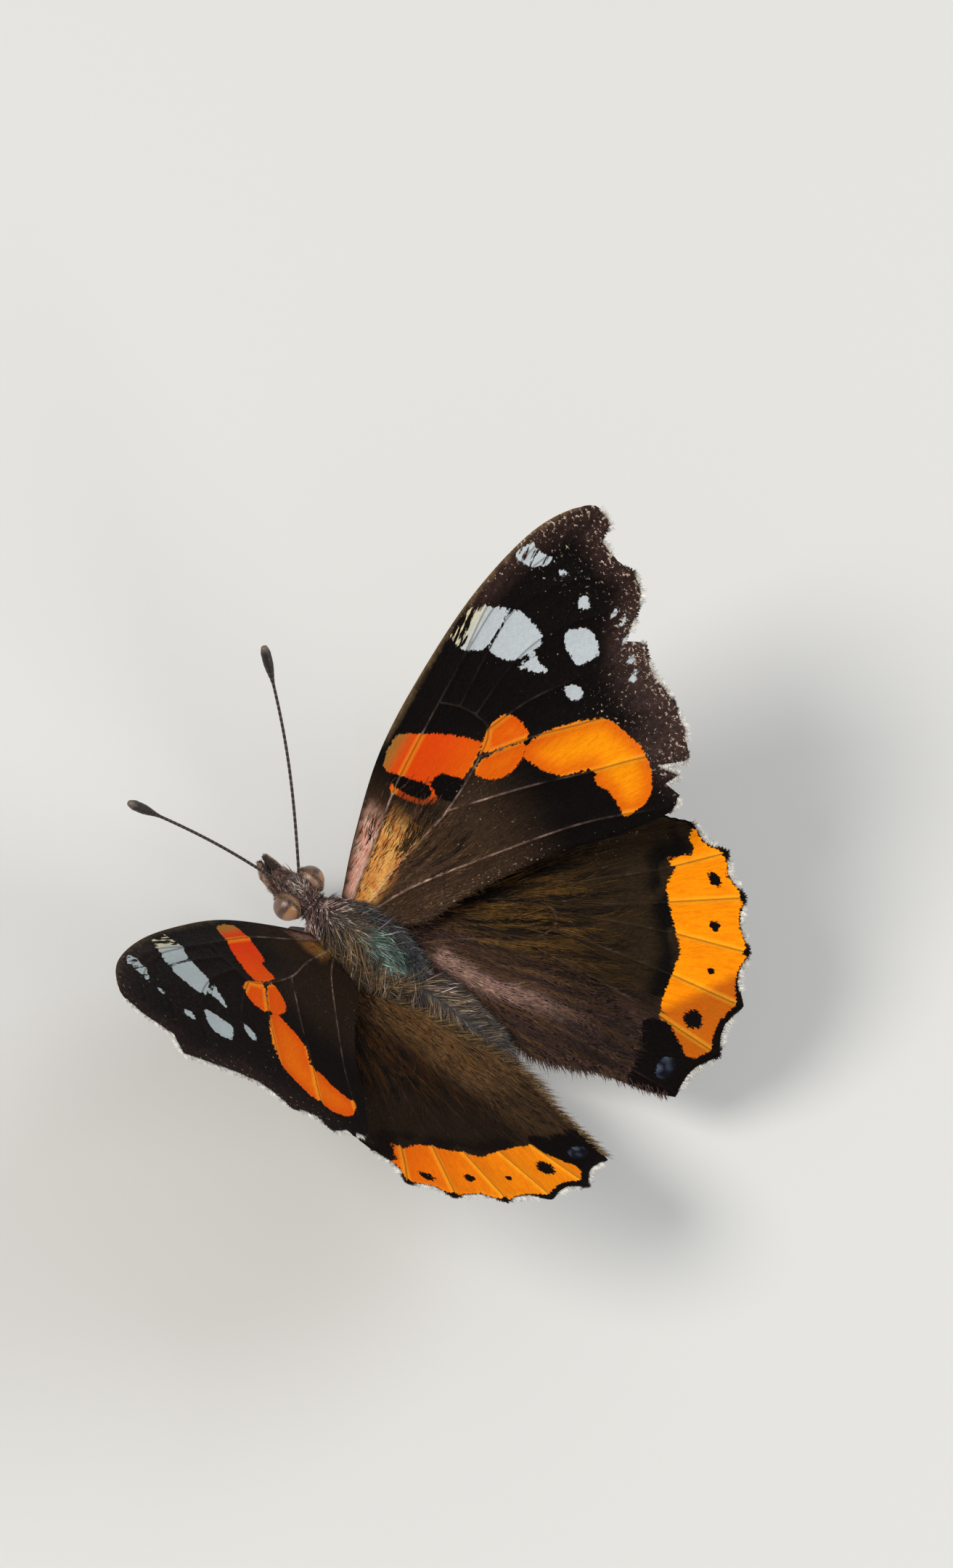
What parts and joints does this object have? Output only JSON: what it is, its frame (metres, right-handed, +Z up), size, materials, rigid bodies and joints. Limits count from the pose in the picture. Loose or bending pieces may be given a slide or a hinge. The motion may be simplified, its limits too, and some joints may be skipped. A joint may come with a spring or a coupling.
{
  "type": "red admiral butterfly",
  "caption": "Life-size still butterfly standing with half-raised dark wings that carry an orange-red band, white spots and an orange hind margin.",
  "frame": {"origin": "middle of the footprint box, on the ground the feet stand on", "axes": "+X to the butterfly's right, +Y the way it faces, +Z up"},
  "size_m": [0.0432, 0.0368, 0.0299],
  "materials": {
    "body_hair": "olive-brown pile with a blue-green sheen",
    "abdomen_hair": "dark grey-brown pile",
    "head_hair": "short brown pile",
    "eye": "tan, finely hairy facets",
    "palp": "dark brown scales with a pale edge",
    "antenna": "dark scaled shaft, pale-tipped club",
    "leg": "grey-brown scales",
    "forewing": "velvet black-brown scales with an orange-red band and white spots",
    "hindwing": "dark brown scales with an orange margin"
  },
  "bodies": {
    "root": {"thorax": "body_hair", "abdomen": "abdomen_hair", "head": "head_hair", "eye_right": "eye", "eye_left": "eye", "palp_right": "palp", "palp_left": "palp", "antenna_right": "antenna", "antenna_left": "antenna", "foreleg_right": "leg", "foreleg_left": "leg", "midleg_right": "leg", "midleg_left": "leg", "hindleg_right": "leg", "hindleg_left": "leg", "forewing_right": "forewing", "forewing_left": "forewing", "hindwing_right": "hindwing", "hindwing_left": "hindwing"}
  },
  "joints": []
}
